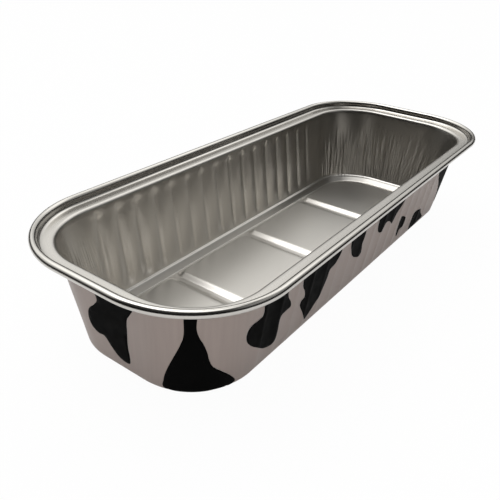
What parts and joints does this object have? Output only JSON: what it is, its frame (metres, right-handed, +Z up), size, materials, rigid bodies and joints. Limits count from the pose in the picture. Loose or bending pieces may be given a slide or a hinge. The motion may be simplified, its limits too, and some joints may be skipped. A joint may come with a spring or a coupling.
{
  "type": "foil mini loaf pan with cow print",
  "caption": "Disposable aluminium foil mini loaf pan with a rolled rim, fluted long walls, raised floor panels with grooves between them and a black and pale grey cow print outside",
  "frame": {"origin": "centre of the underside: midway along the length and the width, on the plane that the grooves of the floor rest on", "axes": "+X along the length, +Y across the width, +Z up out of the open top"},
  "size_m": [0.165, 0.066, 0.031],
  "materials": {
    "foil": "bright drawn foil with fine forming lines",
    "lacquer": "thin satin lacquer over metal, pale pinkish grey",
    "ink": "black satin printing ink"
  },
  "bodies": {
    "root": {"foil_shell": "foil", "outer_lacquer": "lacquer", "cow_print": "ink"}
  },
  "joints": []
}
